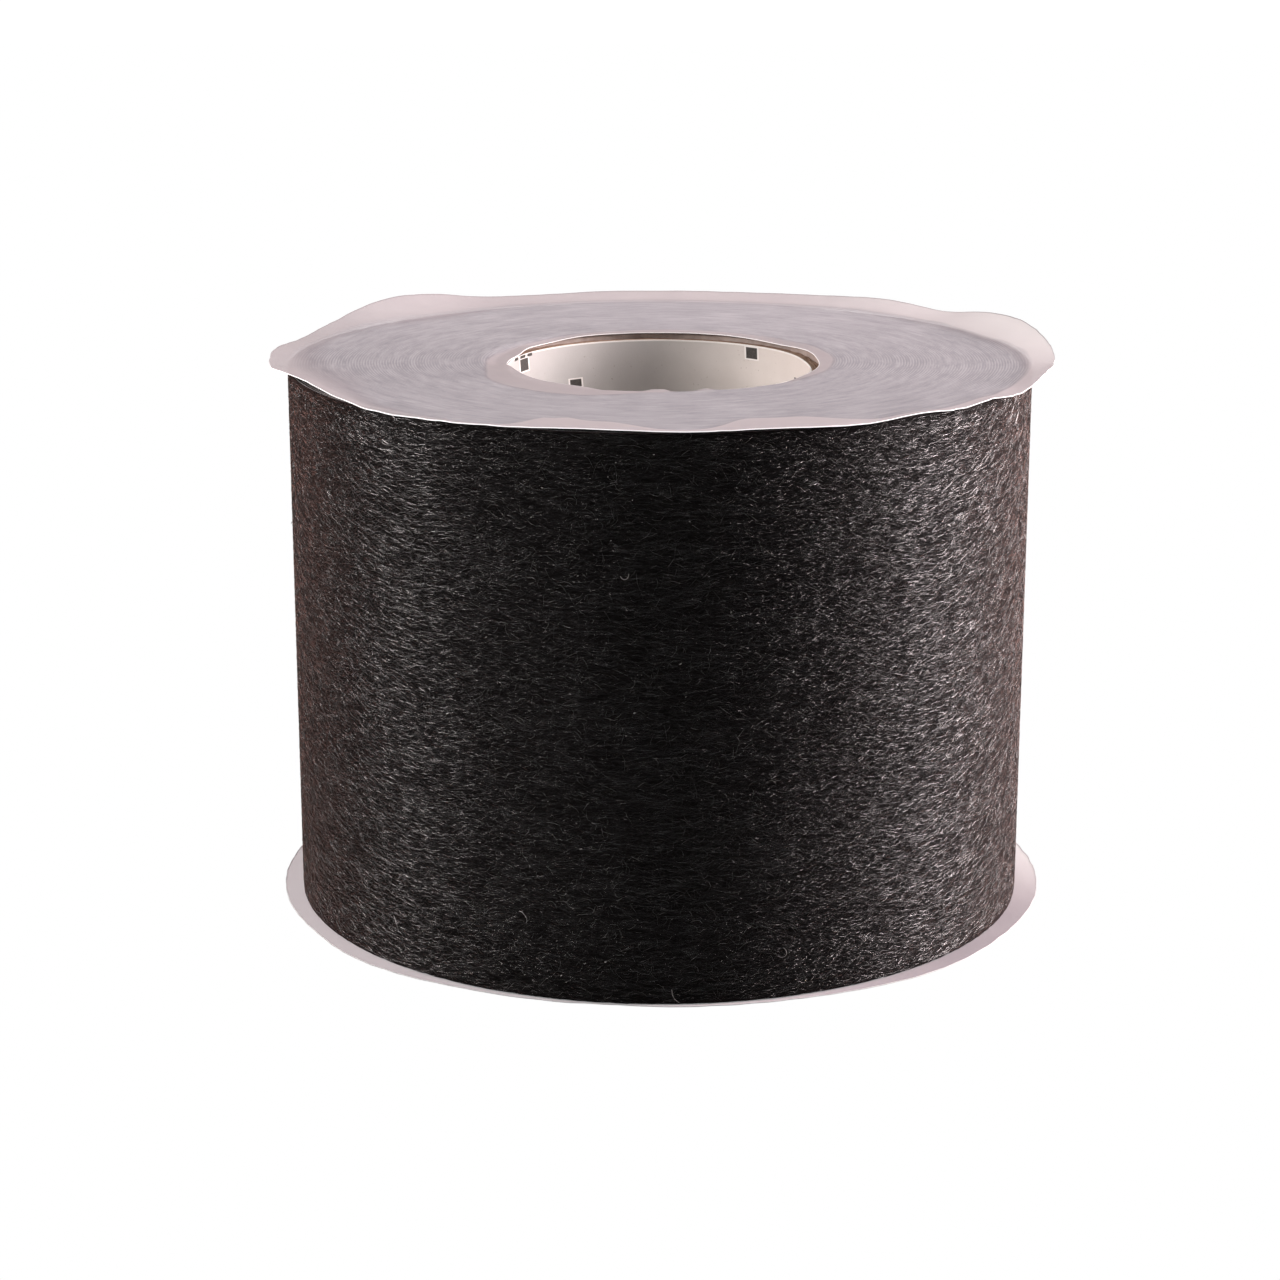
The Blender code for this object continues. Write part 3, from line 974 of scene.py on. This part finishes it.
# How high the top disc's rim stands off the roll, as (angle, lift) all the way round.
TOP_RIM = [
    (-170, 0.4), (-160, 1.9), (-153, 2.5), (-140, 0.7), (-133, -0.4), (-120, -0.5), (-100, 0.5), (-87, 0.1),
    (-76, 0.35), (-62, -0.2), (-54, 0.6), (-45, 0.0), (-40, 0.6), (-31, -0.3), (-20, 1.5), (-8, 1.2),
    (4, 2.5), (18, 4.3), (27, 3.7), (38, 1.45), (51, 2.35), (63, 1.65), (87, 1.2), (99, 1.35),
    (111, 1.1), (121, 1.8), (130, 3.9), (137, 4.6), (143, 4.0), (153, 1.4), (163, -0.2), (180, 1.1),
]
# Where the rim's rise begins, as a share of the way from the hole to the disc's edge.
RIM_BEGINS = 0.66

# The hills below are each a middle angle, a height and a half width in degrees.
# How far out the top disc's hole is from its circle. Below 0 the film reaches further in.
HOLE_REACH = [(-163, -2.9, 22), (163, -3.2, 17), (4, -1.2, 16), (40, -0.8, 14)]

# Where the film clings no longer, near the roll's own edge, and how far in from there it stands off the roll.
CLING_TO = 92.6
TOP_LOOSE = [
    (-109.3, 6.5, 1.7), (-106, 8.0, 3.2), (-99.5, 10.5, 7), (-77, 11.5, 6), (-68.5, 9.5, 5),
    (-158, 5.0, 20), (135, 4.0, 12), (20, 3.0, 14),
]
# How far each disc's edge is from its circle. The narrow hills are nicks.
TOP_EDGE = [(-172, 0.9, 12), (-46.5, -0.7, 0.8), (-38.5, -0.5, 0.7), (-32.0, -0.5, 0.7), (-83, -0.4, 0.7)]
BOTTOM_EDGE = [(-136, 2.2, 13), (-48, 2.0, 15), (-97, -0.8, 7), (-165, 1.0, 20), (-12, 1.6, 26)]
# How gradually the film leaves the roll, and how far past the core's edge it stands off round the hole.
TOP_SOFT = [(-158, 12.0, 18), (178, 4.0, 14), (140, 6.0, 22), (90, 1.5, 30), (40, 3.0, 25), (0, 3.0, 14)]
HOLE_LOOSE = [(-137, 7.0, 20), (-112, 7.0, 16), (150, -2.0, 30)]
# The hills at the top disc's right that catch the light, and how far round the back reaches.
TOP_PALE = [(20, 1.1, 18), (0, 0.5, 12), (52, 0.4, 14)]
AT_BACK = [(90, 1.0, 75)]


def around(angle, knots):
    """A smooth closed curve through (angle, height) knots."""
    at, height = np.array(knots, float).T
    at = np.concatenate([at[-2:] - 360, at, at[:2] + 360])
    height = np.concatenate([height[-2:], height, height[:2]])
    slope = np.gradient(height, at)
    angle = (angle + 180) % 360 - 180
    first = np.clip(np.searchsorted(at, angle) - 1, 0, len(at) - 2)
    width = at[first + 1] - at[first]
    t = (angle - at[first]) / width
    start = (2 * t**3 - 3 * t**2 + 1) * height[first] + (t**3 - 2 * t**2 + t) * width * slope[first]
    return start + (3 * t**2 - 2 * t**3) * height[first + 1] + (t**3 - t**2) * width * slope[first + 1]


def film_disc(name, hole_centre, radius, centre, middle, side, hills, seed, materials):
    """A thin round sheet with a hole, whose rim follows its own hills, given by name.

    middle is the height of the film's middle, and side is 1 on the roll's top and -1 under it. v runs from 0
    at the hole to 1 at the disc's edge."""
    rim, edge, reach = [hills.get(key, []) for key in ("rim", "edge", "reach")]
    loose, soft, hole_loose = [hills.get(key, []) for key in ("loose", "soft", "hole_loose")]
    columns = 400
    bands = [(0, 0.12, 12), (0.12, RIM_BEGINS, 20), (RIM_BEGINS, 1, 30)]
    v = np.concatenate([np.linspace(*band)[:-1] for band in bands] + [[1.0]])
    angle = np.arange(columns)[:, None] * 360 / columns
    turn = np.radians(angle)
    ragged = 0.12 * ripple(turn * radius, 0 * turn, 7.0, seed)
    hole = HOLE_RADIUS + bumps(angle, reach)
    hole_x = hole * np.cos(turn) + hole_centre[0]
    hole_y = hole * np.sin(turn) + hole_centre[1]
    ragged += bumps(angle, edge)
    rim_x = (radius + ragged) * np.cos(turn) + centre[0]
    rim_y = (radius + ragged) * np.sin(turn) + centre[1]
    x = hole_x + (rim_x - hole_x) * v
    y = hole_y + (rim_y - hole_y) * v
    far = np.hypot(x, y)
    rise = np.clip((v - RIM_BEGINS) / (1 - RIM_BEGINS), 0, 1)
    lift = around(angle, rim) * rise**2.2 if rim else np.zeros(x.shape)
    lift = np.where(lift < 0, lift * np.clip((far - PACK_RADIUS - WEB) / 1.2, 0, 1), lift)
    droop = sag(angle, far) if reach else 0.0
    waves = 0.05 * (ripple(x, y, 26.0, seed + 1) + 0.6 * ripple(x, y, 9.0, seed + 2))
    z = middle + side * (lift - droop + np.abs(waves))
    half = DISC_FILM / 2
    top = np.stack([x, y, z + half], axis=-1) * MM
    bottom = np.stack([x, y, z - half], axis=-1) * MM
    disc = shell(name, top, bottom, materials, wrap=True, edge_kind=1, sharp=50)
    clings_to = CLING_TO - bumps(angle, loose)
    clings_from = PACK_BORE + bumps(angle, hole_loose)
    wander = 0.3 * ripple(x, y, 16.0, seed + 3)
    at_back = np.clip(bumps(angle, AT_BACK), 0, 1)
    to_rim = np.hypot(rim_x - x, rim_y - y) * (1 - 0.7 * at_back)
    past_edge = (far - clings_to + wander) / (1 + bumps(angle, soft))
    marks = {
        "loose": np.maximum(past_edge, clings_from - far + wander),
        "rim": -np.minimum(to_rim, np.hypot(hole_x - x, hole_y - y)),
        "shade": at_back * np.exp(-(((far - clings_to + 0.8) / 2.4) ** 2)),
        "pale": np.clip(bumps(angle, TOP_PALE), 0, 1.2) * rise,
    }
    for mark, values in marks.items():
        give(disc, mark, values)
    return disc


def build_discs(look):
    """The two film discs."""
    middle = DISC_UNDER + DISC_FILM / 2
    hills = dict(rim=TOP_RIM, edge=TOP_EDGE, reach=HOLE_REACH)
    hills.update(loose=TOP_LOOSE, soft=TOP_SOFT, hole_loose=HOLE_LOOSE)
    top = film_disc("top_film_disc", TOP_HOLE_CENTRE, TOP_DISC_RADIUS, TOP_DISC_CENTRE, middle, 1, hills, 101,
                    [look["film"], look["cut_edge"]])
    seat(top, "top_disc", "side_film", "top_side_disc")
    bottom = film_disc("bottom_film_disc", (0.0, 0.0), BOTTOM_DISC_RADIUS, BOTTOM_DISC_CENTRE, -middle, -1,
                       dict(edge=BOTTOM_EDGE), 111, [look["bottom_film"], look["bottom_cut_edge"]])
    seat(bottom, "bottom_disc", "side_film", "bottom_side_disc")


# ------------------------ the roll

def main():
    make_camera()
    make_surroundings()
    look = {
        "fleece": fleece_material(),
        "fibre": fibre_material("black_fibre", (0.0055, 0.0036, 0.0032), 0.20, 1.55),
        "glossy": fibre_material("glossy_fibre", (0.008, 0.0070, 0.0070), 0.20, 2.15),
        "curl": fibre_material("grey_fibre", (0.041, 0.038, 0.038), 0.3),
        "stray": fibre_material("stray_fibre", (0.34, 0.32, 0.31), 0.4),
        "lint": fibre_material("lint", (0.62, 0.60, 0.58), 0.6),
        "liner": liner_material(),
        "adhesive": adhesive_material(),
        "pack": pack_material(),
        "board": board_material("core_board", (0.20, 0.125, 0.085), (0.33, 0.23, 0.17)),
        "pale_board": board_material("pale_core_board", (0.36, 0.29, 0.26), (0.50, 0.43, 0.39)),
        "lining": lining_material(),
        "film": film_material("side_film", 0.78, (1.0, 1.0, 1.0)),
        # The lower disc's film is painted lighter by a tint above 1, as painted light where the roll shades
        # it, and painted darker and less clear at its right front as painted shade.
        "bottom_film": film_material("bottom_side_film", 0.46, (1.3, 1.14, 1.19), 0.62, (0.57, 0.60, 0.61)),
        "cut_edge": cut_edge_material("film_cut_edge", 0.9),
        "bottom_cut_edge": cut_edge_material("bottom_film_cut_edge", 0.1),
        "strip": strip_material(),
    }
    build_core(look)
    build_pack(look)
    build_web(look)
    build_fibres(look)
    build_strays(look)
    build_discs(look)


main()
